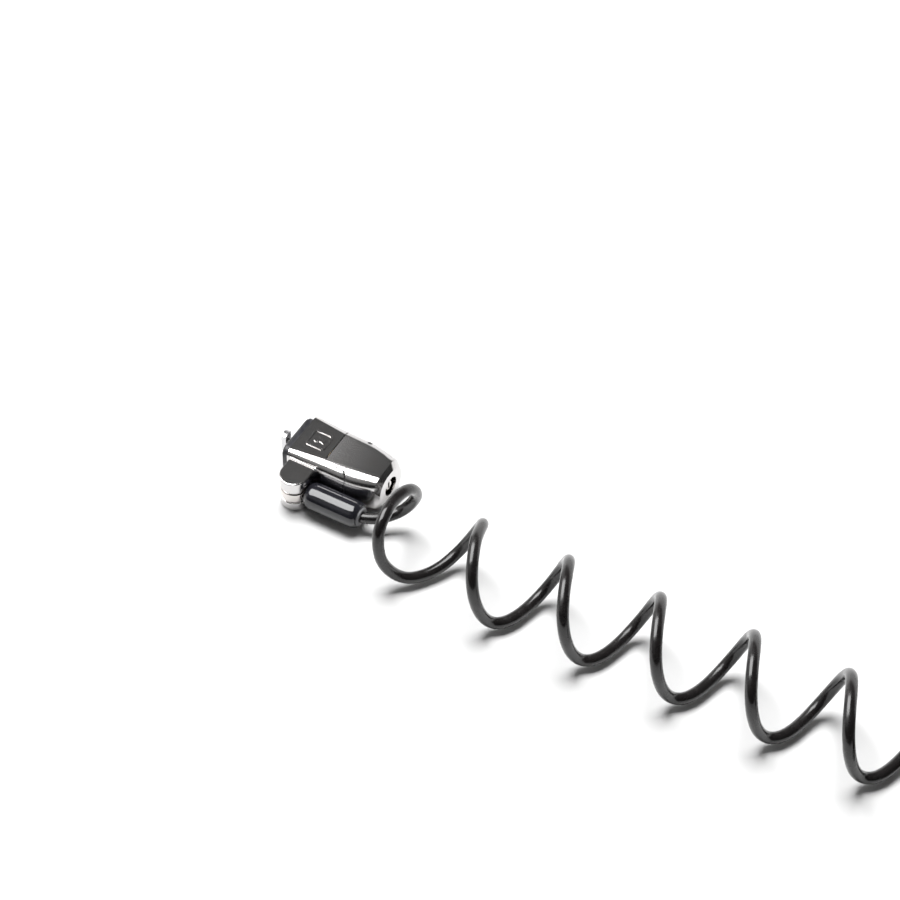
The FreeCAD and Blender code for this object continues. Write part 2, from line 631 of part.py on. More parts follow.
def build():
    envelope = head_envelope()
    coil = fat_coil(*COIL_X)
    return {
        "front_housing": front_housing(envelope),
        "rear_housing": rear_housing(envelope),
        "nose_collar": nose_collar(),
        "face_pad": face_pad(),
        "guide_pegs": guide_pegs(),
        "front_bush": front_bush(),
        "stop_ring": stop_ring(),
        "barrel_shell": barrel_shell(),
        "barrel_retaining_pin": retaining_pin(CROSS_PIN_RADIUS, *CROSS_PIN_REACH),
        "housing_dowels": group(dowels(DOWEL_RADIUS, SEAM_X - DOWEL_DEPTH + 0.1, SEAM_X + DOWEL_DEPTH - 0.1)),
        "pin_stator": pin_stator(),
        "driver_pins": driver_pins(),
        "pin_springs": pin_springs(),
        "pivot_pin": pivot_pin(),
        "t_bar": t_bar(),
        "drive_dog": drive_dog(),
        "dog_pin": dog_pin(DOG_PIN_RADIUS, DOG_RADIUS - 0.1),
        "spindle": spindle(),
        "spindle_clip": spindle_clip(),
        "key_rotor": key_rotor(),
        "key_pins": key_pins(),
        "cable_link": cable_link(),
        "pivot_washers": pivot_washers(),
        "swivel_bush": swivel_bush(),
        "crimp_ferrule": crimp_ferrule(),
        "cable_core": cable_core(),
        "cable_sleeve": cable_sleeve(),
        "sleeve_end_ring": sleeve_end_ring(),
        "cable_lead": on_cable(CABLE_RADIUS, CORE_X[1], COIL_X[0]),
        "cable_coil": coil,
        "cable_coil_closed": fat_coil(COIL_X[1], CLOSED_X),
        "cable_tail": cable_tail(),
        "loop_crimp": loop_crimp(),
        "loop_crimp_cover": loop_crimp_cover(),
        "cable_loop": cable_loop(),
    }


os.makedirs("parts", exist_ok=True)
for name, shape in build().items():
    if not shape.isValid():
        print("not valid:", name)
    box_ = shape.BoundBox
    print(name, "solids", len(shape.Solids), "volume", round(shape.Volume, 2), "x", round(box_.XMin, 2),
          round(box_.XMax, 2), "y", round(box_.YMin, 2), round(box_.YMax, 2), "z", round(box_.ZMin, 2),
          round(box_.ZMax, 2))
    shape.exportStep(f"parts/{name}.step")
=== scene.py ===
"""Keyed laptop cable lock: the visual model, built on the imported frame.

Sizes are in millimetres in the frame's own axes. +X runs along the lock head from its nose to its key end,
+Y across it from the cable's side to the far side, and +Z is up.
"""

import json
import math

import bmesh
import bpy
from mathutils import Matrix, Vector

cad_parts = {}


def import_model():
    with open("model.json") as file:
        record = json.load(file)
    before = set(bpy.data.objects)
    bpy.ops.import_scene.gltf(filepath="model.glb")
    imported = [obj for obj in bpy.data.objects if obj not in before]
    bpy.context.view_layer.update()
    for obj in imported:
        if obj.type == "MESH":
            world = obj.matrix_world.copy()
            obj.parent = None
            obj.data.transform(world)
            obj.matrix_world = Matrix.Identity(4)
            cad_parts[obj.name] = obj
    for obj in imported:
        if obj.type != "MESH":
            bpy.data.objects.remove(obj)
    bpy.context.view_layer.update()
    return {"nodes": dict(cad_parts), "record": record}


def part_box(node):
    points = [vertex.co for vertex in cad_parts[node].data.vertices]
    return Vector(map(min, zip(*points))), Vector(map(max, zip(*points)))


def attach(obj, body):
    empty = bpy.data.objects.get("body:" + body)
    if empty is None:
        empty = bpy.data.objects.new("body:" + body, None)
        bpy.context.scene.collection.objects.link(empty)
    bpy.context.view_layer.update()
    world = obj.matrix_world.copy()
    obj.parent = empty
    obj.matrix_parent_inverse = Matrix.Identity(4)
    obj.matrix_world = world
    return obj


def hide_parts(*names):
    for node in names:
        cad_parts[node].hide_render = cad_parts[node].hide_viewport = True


MM = 0.001
NOISE_RANGE = (0.35, 0.65)      # between these lies nearly all of a noise pattern
SMOOTH_ANGLE = 40               # degrees between faces from which an edge stays sharp
SMOOTH_COVER = 50
SMOOTH_NODE = 30

# ---- camera -----------------------------------------------------------------
CAMERA_PLACE = (275.1, -405.5, 566.2)
CAMERA_TURN = (30.34, 41.57, -0.454)    # about Z, then tilted up from straight down, then rolled
LENS = 110.54
SENSOR = 36.0

# ---- lights and floor, in metres and watts ------------------------------------
LIGHTS_AIM = (0.05, 0.0, 0.0)
SOFTBOX_PLACE = (-0.41, -0.14, 1.0)
SOFTBOX_SIZE = (0.9, 0.94)
SOFTBOX_POWER = 22
LAMP_PLACE = (-0.15, 0.25, 0.9)
LAMP_SIZE = (0.55, 0.55)
LAMP_POWER = 20.8
FLOOR_SIZE = 6
FLOOR_LEVEL = -0.0001
FLOOR_GREY = (0.62, 0.62, 0.62)

# ---- the room's brightness, with the direction that each part of it lies in ----
WALL_TOWARDS = (0.0, 0.81, -0.59)       # a pale wall, low down on the far side
WALL_WHITE = 1.25
LEFT_TOWARDS = (-1.0, 0.0, 0.0)         # a pale wall beyond the nose
LEFT_WHITE = 0.7
FRINGE_TOWARDS = (-0.34, -0.71, 0.62)   # the softbox's dim lower fringe
FRINGE = 0.25
CARD_GREY = 0.1                         # the rest of the room towards the nose
CARD_DARK = 0.03                        # and towards the key end
NEAR_SHARE = 0.25                       # the near side is this share as bright as the far side

# ---- lock head --------------------------------------------------------------
HEAD_Y = 4.1
HEAD_Z = 6.15
HALF_WIDTH = 8.1
HALF_HEIGHT = 6.15
FRONT_X = -10.7
TAPER_X = 5.0
SHOULDER_X = 15.6
SHOULDER_HALF_WIDTH = 6.4
END_X = 16.9
END_SECTION = (5.6, 5.0, 4.6)   # half width, half height and corner radius of the end face
FLAT_FRONT = 6.0                # half width of the flat top at the front
FLAT_SEAM = 4.7
FLAT_TAPER = 4.5                # where the sides begin to taper
FLAT_SHOULDER = (3.1, 2.3)      # on the near side and on the far side
CORNER_STEPS = 14
BULLET_STEPS = 10
FRONT_EDGE = 0.16               # how far the sharp edges are rounded
REAR_EDGE = 0.24
SEAM_X = -0.4
SEAM_GAP = 0.26
CHEEK_X = 7.0
CHEEK_TOP = 12.1
CHEEK_ROUND = 2.2
CHEEK_INNER_Y = -1.9
CAVITY_RADIUS = 4.8
NOSE_BORE = 2.5
BUSH_END_X = -6.7
BARREL_END_X = 15.5
KEYHOLE_RADIUS = 2.8
CROSS_PIN_X = 6.9       # the pin through the far upper corner
CROSS_PIN_LEAN = 42
CROSS_PIN_RADIUS = 0.6
BORE_FIT = 0.01         # a bore is wider than the part that fills it by this
BORE_PLAY = 0.05        # or by this, where the part can turn or is put in from outside

# ---- raised mark ------------------------------------------------------------
MARK_SHIFT = 0.3        # towards the key end, from the middle of the front flat
MARK_RISE = 0.22
MARK_SINK = 0.2         # its foot lies this deep in the housing
MARK_HALF = 2.9         # half the side of the square frame
MARK_LINE = 0.42        # the width of the frame's line
MARK_CORNER = 0.35      # the frame's corner radius as a share of its half side
MARK_EDGE = 0.1
BOW_X = -0.7
BOW_RADIUS = 0.95
BOW_OPEN = 24           # half of the angle that the stem takes up, in degrees
STEM_X = 1.6
STEM_HALF = 0.75

# ---- ears, link, sleeve -----------------------------------------------------
PIVOT_X = -5.7
PIVOT_Y = -8.1
EAR_RADIUS = 4.1
EAR_LOW = (0.0, 2.95)
EAR_HIGH = (6.65, 10.6)
EAR_ROOT_Y = -3.8       # where the upper ear's top meets the head's side
EAR_ROOT_DEPTH = 2.2    # the ears run this far into the head
EAR_EDGE = 0.45
EAR_EDGE_STEPS = 4
EAR_EDGE_ANGLE = 50
ROOT_BEAD = (0.42, 0.3)         # radius and end rounding of the fillet along the upper ear's root
ROOT_KNOB = (0.62, 0.5)         # and of the thicker one at its corner
ROOT_KNOB_X = (0.6, 0.55)       # which runs this far before and past the ear's side
EYE_Z = (3.14, 6.46)
EYE_ROUND = 0.6
EYE_SPACE = 0.3         # between the eye and the head
PIN_RADIUS = 1.5
PIN_LOW = 0.3
PIN_TOP = 9.6
LINK_Z = 4.8
SHANK_RADIUS = 1.62
SHANK_END_X = 6.6
SHANK_START = 2.2       # from the pivot
SHANK_PLAIN = 1.3       # the plain shank stops this far before the end, inside its head
SHANK_HEAD = (1.4, 0.83)        # the head's length, and how far it stands out
SLEEVE_X = (-1.3, 14.7)
SLEEVE_RADIUS = 3.85
SLEEVE_POWER = 8        # the higher, the straighter its outline
SLEEVE_STEPS = 60
FERRULE_RADIUS = 3.15
FERRULE_END_X = 14.4
END_RING_X = 15.3
END_RING_RADIUS = 2.6
END_RING_ROUND = 0.3

# ---- cable ------------------------------------------------------------------
CABLE_RADIUS = 1.6
TABLE_GAP = 0.1                 # between the table and what lies flat on it
FIRST_LOOP = [
    (15.3, -8.1, 4.8), (18.3, -7.3, 5.0), (21.3, -4.7, 5.2), (24.1, -2.1, 6.4), (26.5, -0.8, 9.7),
    (28.7, -1.3, 15.4), (28.7, -5.3, 21.9), (27.7, -11.4, 23.0), (28.3, -17.6, 23.2), (28.6, -21.8, 19.3),
    (29.7, -22.8, 11.1), (32.5, -20.7, 4.7), (36.5, -18.3, 2.6), (40.8, -12.4, 2.6), (43.6, -5.3, 4.8),
    (46.9, -3.0, 11.8), (50.2, -3.7, 19.6),
]
COIL_RADIUS = 10.9
COIL_AIM = (49.2, -13.8)        # a point on the coil's axis
COIL_TURNED = 1.84              # the axis is this many degrees off +X
COIL_START = (52.6, 82.3)       # where along X and at what angle the even turns begin
SAG = 1.0                       # the open turns hang this much lower on their near side
SAG_ANGLE = 222
SAG_SPREAD = 40
LEAN_IN = (0.448, 0.766, 1.0)   # and their near side leans in and down along this, by up to LEAN_BY
LEAN_BY = 2.0
LEAN_ANGLE = 204
LEAN_SPREAD = 38
LOWEST = 2.6                    # a control point of theirs that would be lower moves up and out along LEAN_IN
OPEN_PITCH = 25.8
OPEN_TURNS = 4.94
CLOSED_PITCH = 3.4
CLOSED_TURNS = 15.5
STEPS = 16                      # control points in a turn
COIL_END_X = 232.0
TAIL = [(0.5, 0.5), (3.0, 6.0), (9.0, 8.0), (15.0, 5.0), (21.0, 2.0), (27.0, 1.7), (33.0, 1.7)]
TAIL_END_X = 258.0
CRIMP_LENGTH = 14.0
CRIMP_ROUND = 1.0
CRIMP_ROUND_STEPS = 6
CRIMP_FLAT = 0.05               # the cover's section is rounded but for this
STRAND_PITCH = 4.0
END_LOOP = [
    (0, -2), (11, -3), (23, -9), (36, -16), (49, -16), (58.5, -6.8),
    (58.5, 6.8), (49, 16), (36, 16), (23, 9), (11, 3), (0, 2), (-12, 2),
]


# ---- meshes -----------------------------------------------------------------

def add_object(name, mesh, material):
    piece = bpy.data.objects.new(name, mesh)
    bpy.context.scene.collection.objects.link(piece)
    mesh.materials.clear()
    mesh.materials.append(material)
    return piece


def mesh_of(points, faces):
    mesh = bpy.data.meshes.new("shape")
    mesh.from_pydata([[v * MM for v in p] for p in points], [], faces)
    shape = bmesh.new()
    shape.from_mesh(mesh)
    bmesh.ops.remove_doubles(shape, verts=shape.verts, dist=1e-6)
    bmesh.ops.recalc_face_normals(shape, faces=shape.faces)
    shape.to_mesh(mesh)
    shape.free()
    return mesh


def skin(rings, capped=True):
    """A closed mesh over rings of equally many points."""
    count = len(rings[0])
    points = [p for ring in rings for p in ring]
    faces = []
    for r in range(len(rings) - 1):
        for i in range(count):
            j = (i + 1) % count
            faces.append((r * count + i, r * count + j, (r + 1) * count + j, (r + 1) * count + i))
    if capped:
        faces.append(tuple(range(count)))
        faces.append(tuple(range((len(rings) - 1) * count, len(rings) * count)))
    return mesh_of(points, faces)


def rounded_rectangle(half_y, half_z, corner, y=HEAD_Y, z=HEAD_Z, steps=CORNER_STEPS, near=None):
    """Points round a rounded rectangle. The corners on the -Y side may have a radius of their own."""
    points = []
    for quarter in range(4):
        side_y = 1 if quarter in (0, 3) else -1
        side_z = 1 if quarter in (0, 1) else -1
        radius = near if near and side_y < 0 else corner
        for step in range(steps + 1):
            angle = math.radians(90 * quarter + 90 * step / steps)
            points.append((y + side_y * (half_y - radius) + radius * math.cos(angle),
                           z + side_z * (half_z - radius) + radius * math.sin(angle)))
    return points


def turned(profile, axis, centre, steps=64):
    """A closed profile of (along, radius) points turned round an axis, X or Z, through centre."""
    rings = []
    for step in range(steps):
        angle = 2 * math.pi * step / steps
        ring = []
        for along, radius in profile:
            u = radius * math.cos(angle)
            v = radius * math.sin(angle)
            ring.append((along, centre[1] + u, centre[2] + v) if axis == "X"
                        else (centre[0] + u, centre[1] + v, along))
        rings.append(ring)
    rings.append(rings[0])
    return skin(rings, capped=False)


def bar_on(axis, centre, radius, start, end, steps=64):
    return turned([(start, 0.0), (start, radius), (end, radius), (end, 0.0)], axis, centre, steps)


def prism(outline, low, high, axis="Z"):
    """An outline of (x, y) points carried from low to high along Z, or of (x, z) points along Y."""
    def at(p, level):
        return (p[0], p[1], level) if axis == "Z" else (p[0], level, p[1])
    return skin([[at(p, low) for p in outline], [at(p, high) for p in outline]])


def arc_points(x, y, radius, start, end, steps):
    angles = [math.radians(start + (end - start) * i / steps) for i in range(steps + 1)]
    return [(x + radius * math.cos(a), y + radius * math.sin(a)) for a in angles]


def combine(piece, mesh, operation):
    """Cuts mesh from the piece, adds it, or keeps what they share."""
    other = bpy.data.objects.new("other", mesh)
    bpy.context.scene.collection.objects.link(other)
    change = piece.modifiers.new("combine", "BOOLEAN")
    change.operation = operation
    change.solver = "EXACT"
    change.object = other
    settle(piece)
    bpy.data.objects.remove(other)


def settle(piece):
    """Applies the piece's modifiers."""
    bpy.context.view_layer.update()
    result = bpy.data.meshes.new_from_object(piece.evaluated_get(bpy.context.evaluated_depsgraph_get()))
    piece.modifiers.clear()
    piece.data = result


def soften(piece, width, segments=3, angle=11):
    """Rounds the piece's sharp edges and shades the rest smooth."""
    clean = bmesh.new()
    clean.from_mesh(piece.data)
    bmesh.ops.dissolve_limit(clean, angle_limit=math.radians(0.5), verts=clean.verts, edges=clean.edges)
    clean.to_mesh(piece.data)
    clean.free()
    edge = piece.modifiers.new("edges", "BEVEL")
    edge.width = width * MM
    edge.segments = segments
    edge.limit_method = "ANGLE"
    edge.angle_limit = math.radians(angle)
    edge.miter_outer = "MITER_ARC"
    settle(piece)
    smooth(piece)


def smooth(piece, angle=SMOOTH_ANGLE):
    piece.data.shade_smooth()
    piece.data.set_sharp_from_angle(angle=math.radians(angle))
    weights = piece.modifiers.new("normals", "WEIGHTED_NORMAL")
    weights.keep_sharp = True
    weights.weight = 80
    settle(piece)


# ---- lock head --------------------------------------------------------------

def head_ring(x):
    """The head's section at x. From the shoulder to the end face it makes the bevelled rim."""
    if x > SHOULDER_X:
        half_y, half_z, corner = END_SECTION
        return [(x, y, z) for y, z in rounded_rectangle(half_y, half_z, corner)]
    near = far = FLAT_TAPER
    half_y = HALF_WIDTH
    if x <= SEAM_X:
        near = far = FLAT_FRONT + (FLAT_SEAM - FLAT_FRONT) * (x - FRONT_X) / (SEAM_X - FRONT_X)
    elif x <= TAPER_X:
        near = far = FLAT_SEAM + (FLAT_TAPER - FLAT_SEAM) * (x - SEAM_X) / (TAPER_X - SEAM_X)
    else:
        t = (x - TAPER_X) / (SHOULDER_X - TAPER_X)
        near += (FLAT_SHOULDER[0] - FLAT_TAPER) * t
        far += (FLAT_SHOULDER[1] - FLAT_TAPER) * t * t
        half_y += (SHOULDER_HALF_WIDTH - HALF_WIDTH) * t * t
    outline = rounded_rectangle(half_y, HALF_HEIGHT, half_y - far, near=half_y - near)
    return [(x, y, z) for y, z in outline]


def head_envelope():
    """Both housings' outer solid, through sections along X."""
    straight = [FRONT_X, SEAM_X - 4, SEAM_X, 1.5, 3.2, TAPER_X]
    bullet = [TAPER_X + (SHOULDER_X - TAPER_X) * i / BULLET_STEPS for i in range(1, BULLET_STEPS + 1)]
    return skin([head_ring(x) for x in straight + bullet + [END_X]])


def front_space(gap):
    """Everything in front of the seam, as two solids that overlap. They reach well past the head."""
    far = 30
    front = FRONT_X - 5
    under = -5
    overlap_x = SEAM_X - 3
    slab = prism([(front, HEAD_Y - far), (SEAM_X + gap, HEAD_Y - far),
                  (SEAM_X + gap, HEAD_Y + far), (front, HEAD_Y + far)], -far, far)
    x1 = CHEEK_X + gap
    z1 = CHEEK_TOP + gap
    outline = [(overlap_x, under), (x1, under)]
    outline += arc_points(x1 - CHEEK_ROUND, z1 - CHEEK_ROUND, CHEEK_ROUND, 0, 90, 12)
    outline += [(overlap_x, z1)]
    cheek = prism(outline, HEAD_Y - far, CHEEK_INNER_Y + gap, axis="Y")
    return slab, cheek


def ear(low, high, material):
    """A plate round the pivot, with a straight root that runs into the head."""
    outline = arc_points(PIVOT_X, PIVOT_Y, EAR_RADIUS, 180, 360, 28)
    root_y = HEAD_Y - HALF_WIDTH + EAR_ROOT_DEPTH
    outline += [(PIVOT_X + EAR_RADIUS, root_y), (PIVOT_X - EAR_RADIUS, root_y)]
    piece = add_object("ear", prism(outline, low, high), material)
    edge = piece.modifiers.new("edges", "BEVEL")
    edge.width = EAR_EDGE * MM
    edge.segments = EAR_EDGE_STEPS
    edge.limit_method = "ANGLE"
    edge.angle_limit = math.radians(EAR_EDGE_ANGLE)
    settle(piece)
    return piece


def front_housing(material):
    slab, cheek = front_space(0)
    space = add_object("space", slab, material)
    combine(space, cheek, "UNION")
    piece = add_object("front_shell", head_envelope(), material)
    combine(piece, space.data, "INTERSECT")
    bpy.data.objects.remove(space)
    for low, high in (EAR_LOW, EAR_HIGH):
        plate = ear(low, high, material)
        combine(piece, plate.data, "UNION")
        bpy.data.objects.remove(plate)
    root = (0, EAR_ROOT_Y, EAR_HIGH[1])
    side = PIVOT_X + EAR_RADIUS
    bead = rounded_profile(PIVOT_X - EAR_RADIUS, side, ROOT_BEAD[0], 0.0, ROOT_BEAD[1])
    knob = rounded_profile(side - ROOT_KNOB_X[0], side + ROOT_KNOB_X[1], ROOT_KNOB[0], 0.0, ROOT_KNOB[1])
    for profile in (bead, knob):
        combine(piece, turned(profile, "X", root, 24), "UNION")
    head_axis = (0, HEAD_Y, HEAD_Z)
    pivot = (PIVOT_X, PIVOT_Y, 0)
    combine(piece, bar_on("X", head_axis, CAVITY_RADIUS, BUSH_END_X, END_X), "DIFFERENCE")
    combine(piece, bar_on("X", head_axis, NOSE_BORE + BORE_FIT, FRONT_X - 1, BUSH_END_X + 1), "DIFFERENCE")
    combine(piece, bar_on("Z", pivot, EAR_RADIUS + EYE_SPACE, EAR_LOW[1], EAR_HIGH[0]), "DIFFERENCE")
    combine(piece, bar_on("Z", pivot, PIN_RADIUS + BORE_FIT, PIN_LOW - BORE_PLAY, PIN_TOP, 32), "DIFFERENCE")
    soften(piece, FRONT_EDGE)
    return piece


def cross_bore():
    """The bore for the pin that keeps the barrel in, square to the head's axis."""
    mesh = bar_on("X", (0, 0, 0), CROSS_PIN_RADIUS + BORE_PLAY, CAVITY_RADIUS - 1, 2 * HALF_WIDTH, 24)
    lean = math.radians(CROSS_PIN_LEAN)
    out = Vector((0, math.cos(lean), math.sin(lean)))
    turn = Vector((1, 0, 0)).rotation_difference(out).to_matrix().to_4x4()
    mesh.transform(Matrix.Translation(Vector((CROSS_PIN_X, HEAD_Y, HEAD_Z)) * MM) @ turn)
    return mesh


def rear_housing(material):
    piece = add_object("rear_shell", head_envelope(), material)
    for cutter in front_space(SEAM_GAP):
        combine(piece, cutter, "DIFFERENCE")
    head_axis = (0, HEAD_Y, HEAD_Z)
    combine(piece, bar_on("X", head_axis, CAVITY_RADIUS, FRONT_X, BARREL_END_X), "DIFFERENCE")
    combine(piece, bar_on("X", head_axis, KEYHOLE_RADIUS, BARREL_END_X - 1, END_X + 1, 48), "DIFFERENCE")
    combine(piece, cross_bore(), "DIFFERENCE")
    soften(piece, REAR_EDGE)
    return piece


def emblem(material):
    """A plain raised keyhole in a rounded frame."""
    top = 2 * HALF_HEIGHT
    x = (FRONT_X + SEAM_X) / 2 + MARK_SHIFT

    def square(half):
        corner = half * MARK_CORNER
        points = []
        for quarter, (sx, sy) in enumerate([(1, 1), (-1, 1), (-1, -1), (1, -1)]):
            points += arc_points(x + sx * (half - corner), HEAD_Y + sy * (half - corner), corner,
                                 90 * quarter, 90 * quarter + 90, 8)
        return points

    piece = add_object("emblem", prism(square(MARK_HALF), top - MARK_SINK, top + MARK_RISE), material)
    combine(piece, prism(square(MARK_HALF - MARK_LINE), top - 1, top + 1), "DIFFERENCE")
    bow = arc_points(x + BOW_X, HEAD_Y, BOW_RADIUS, BOW_OPEN, 360 - BOW_OPEN, 24)
    key = bow + [(x + STEM_X, HEAD_Y - STEM_HALF), (x + STEM_X, HEAD_Y + STEM_HALF)]
    combine(piece, prism(key, top - MARK_SINK, top + MARK_RISE), "UNION")
    soften(piece, MARK_EDGE)
    return piece


# ---- link, swivel and sleeve ------------------------------------------------

def rounded_profile(start, end, outer, inner, round_by, steps=6):
    """The (along, radius) profile of a ring whose outer edges are rounded."""
    profile = [(start, inner)]
    profile += [(start + round_by + round_by * math.cos(a), outer - round_by + round_by * math.sin(a))
                for a in [math.pi - math.pi / 2 * i / steps for i in range(steps + 1)]]
    profile += [(end - round_by + round_by * math.cos(a), outer - round_by + round_by * math.sin(a))
                for a in [math.pi / 2 - math.pi / 2 * i / steps for i in range(steps + 1)]]
    profile += [(end, inner)]
    return profile


def link(material):
    pivot = (PIVOT_X, PIVOT_Y, 0)
    swivel = (0, PIVOT_Y, LINK_Z)
    length, rise = SHANK_HEAD
    eye = rounded_profile(*EYE_Z, EAR_RADIUS, PIN_RADIUS + BORE_PLAY, EYE_ROUND)
    shank = bar_on("X", swivel, SHANK_RADIUS, PIVOT_X + SHANK_START, SHANK_END_X - SHANK_PLAIN, 32)
    shank_head = bar_on("X", swivel, SHANK_RADIUS + rise, SHANK_END_X - length, SHANK_END_X, 32)
    piece = add_object("link", turned(eye, "Z", pivot), material)
    combine(piece, shank, "UNION")
    combine(piece, shank_head, "UNION")
    smooth(piece)
    return piece


def sleeve(material):
    """A glossy sleeve, a little fuller in the middle, with well rounded ends."""
    axis = (0, PIVOT_Y, LINK_Z)
    middle = (SLEEVE_X[0] + SLEEVE_X[1]) / 2
    half = (SLEEVE_X[1] - SLEEVE_X[0]) / 2
    profile = [(SLEEVE_X[0], FERRULE_RADIUS)]
    for step in range(1, SLEEVE_STEPS):
        u = -math.cos(math.pi * step / SLEEVE_STEPS)
        radius = SLEEVE_RADIUS * (1 - abs(u) ** SLEEVE_POWER) ** (1 / SLEEVE_POWER)
        if radius > FERRULE_RADIUS:
            profile.append((middle + half * u, radius))
    profile += [(SLEEVE_X[1], FERRULE_RADIUS), (SLEEVE_X[1], END_RING_RADIUS)]
    profile += [(FERRULE_END_X, END_RING_RADIUS), (FERRULE_END_X, FERRULE_RADIUS)]
    piece = add_object("sleeve", turned(profile, "X", axis, 96), material)
    smooth(piece)
    return piece


def end_ring(material):
    profile = rounded_profile(FERRULE_END_X, END_RING_X, END_RING_RADIUS, CABLE_RADIUS, END_RING_ROUND)
    piece = add_object("end_ring", turned(profile, "X", (0, PIVOT_Y, LINK_Z)), material)
    smooth(piece)
    return piece


def crimp_cover(material):
    """The black sleeve over the loop's crimp, round two strands side by side."""
    low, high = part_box("loop_crimp_cover")
    middle = (low + high) / 2 / MM
    half_y = (high.y - low.y) / 2 / MM
    half_z = (high.z - low.z) / 2 / MM
    start = low.x / MM
    end = high.x / MM
    rings = []
    for end_x, inward in ((start, 1), (end, -1)):
        part = []
        for i in range(CRIMP_ROUND_STEPS + 1):
            a = math.pi / 2 * i / CRIMP_ROUND_STEPS
            inset = CRIMP_ROUND * (1 - math.sin(a))
            x = end_x + inward * CRIMP_ROUND * (1 - math.cos(a))
            corner = half_z - inset - CRIMP_FLAT
            outline = rounded_rectangle(half_y - inset, half_z - inset, corner, middle.y, middle.z, 10)
            part.append([(x, y, z) for y, z in outline])
        rings += part if inward > 0 else part[::-1]
    piece = add_object("crimp_cover", skin(rings), material)
    smooth(piece, SMOOTH_COVER)
    return piece


# ---- cable ------------------------------------------------------------------

def coil_y(x):
    return COIL_AIM[1] + (x - COIL_AIM[0]) * math.tan(math.radians(COIL_TURNED))


def near_angle(angle, middle, spread):
    """1 at the middle angle, and less further from it."""
    away = ((angle - middle + 180) % 360 - 180) / spread
    return math.exp(-away * away)


def coil_points():
    """Control points round the coil: open turns, then turns that lie closed up."""
    x, angle = COIL_START
    reach = COIL_RADIUS / math.cos(math.pi / STEPS)
    open_steps = round(STEPS * OPEN_TURNS)
    points = []
    for step in range(open_steps + round(STEPS * CLOSED_TURNS)):
        a = math.radians(angle)
        y = coil_y(x) + reach * math.cos(a)
        z = COIL_RADIUS + CABLE_RADIUS + reach * math.sin(a)
        lean = 0.0
        if step < open_steps:
            z -= SAG * near_angle(angle, SAG_ANGLE, SAG_SPREAD)
            lean = min(LEAN_BY * near_angle(angle, LEAN_ANGLE, LEAN_SPREAD), z - LOWEST)
        points.append((x - LEAN_IN[0] * lean, y + LEAN_IN[1] * lean, z - LEAN_IN[2] * lean))
        x += (OPEN_PITCH if step < open_steps else CLOSED_PITCH) / STEPS
        angle += 360 / STEPS
    return points


def cable_points():
    low = CABLE_RADIUS + TABLE_GAP
    end_y = coil_y(COIL_END_X)
    points = FIRST_LOOP + coil_points()
    points += [(COIL_END_X + x, end_y + y, low) for x, y in TAIL]
    loop_y = end_y + TAIL[-1][1] + STRAND_PITCH / 2
    points += [(TAIL_END_X + CRIMP_LENGTH + x, loop_y + y, low) for x, y in END_LOOP]
    return points


def make_cable(material):
    points = cable_points()
    curve = bpy.data.curves.new("cable", "CURVE")
    curve.dimensions = "3D"
    curve.bevel_depth = CABLE_RADIUS * MM
    curve.bevel_resolution = 8
    curve.use_fill_caps = True
    curve.resolution_u = 6
    spline = curve.splines.new("NURBS")
    spline.points.add(len(points) - 1)
    for target, place in zip(spline.points, points):
        target.co = (*[v * MM for v in place], 1)
    spline.order_u = 3
    spline.use_endpoint_u = True
    spline.use_smooth = True
    curve.materials.append(material)
    cable = bpy.data.objects.new("cable", curve)
    bpy.context.scene.collection.objects.link(cable)
    return cable


# ---- materials --------------------------------------------------------------

def new_material(name, colour, metallic, roughness, coat=0.0, specular=0.5):
    material = bpy.data.materials.new(name)
    material.use_nodes = True
    shader = material.node_tree.nodes["Principled BSDF"]
    shader.inputs["Base Color"].default_value = (*colour, 1)
    shader.inputs["Metallic"].default_value = metallic
    shader.inputs["Roughness"].default_value = roughness
    shader.inputs["Coat Weight"].default_value = coat
    shader.inputs["Coat Roughness"].default_value = 0.08
    shader.inputs["Specular IOR Level"].default_value = specular
    return material


def noise(material, size, detail=3.0, stretch=(1, 1, 1)):
    """A noise pattern whose grains are about size millimetres across."""
    nodes = material.node_tree.nodes
    links = material.node_tree.links
    place = nodes.new("ShaderNodeTexCoord")
    mapping = nodes.new("ShaderNodeMapping")
    mapping.inputs["Scale"].default_value = stretch
    pattern = nodes.new("ShaderNodeTexNoise")
    pattern.inputs["Scale"].default_value = 1 / (size * MM)
    pattern.inputs["Detail"].default_value = detail
    links.new(place.outputs["Object"], mapping.inputs["Vector"])
    links.new(mapping.outputs["Vector"], pattern.inputs["Vector"])
    return pattern.outputs["Fac"]


def vary(material, socket, pattern, low, high, start=NOISE_RANGE[0], end=NOISE_RANGE[1]):
    """Runs a shader socket from low to high while the pattern runs from start to end."""
    nodes = material.node_tree.nodes
    spread = nodes.new("ShaderNodeMapRange")
    spread.inputs["From Min"].default_value = start
    spread.inputs["From Max"].default_value = end
    spread.inputs["To Min"].default_value = low
    spread.inputs["To Max"].default_value = high
    material.node_tree.links.new(pattern, spread.inputs["Value"])
    material.node_tree.links.new(spread.outputs["Result"], nodes["Principled BSDF"].inputs[socket])


def tint(material, pattern, first, second):
    """Runs the colour from the first to the second by a noise pattern."""
    nodes = material.node_tree.nodes
    ramp = nodes.new("ShaderNodeValToRGB")
    for element, position, colour in zip(ramp.color_ramp.elements, NOISE_RANGE, (first, second)):
        element.position = position
        element.color = (*colour, 1)
    material.node_tree.links.new(pattern, ramp.inputs["Fac"])
    material.node_tree.links.new(ramp.outputs["Color"], nodes["Principled BSDF"].inputs["Base Color"])


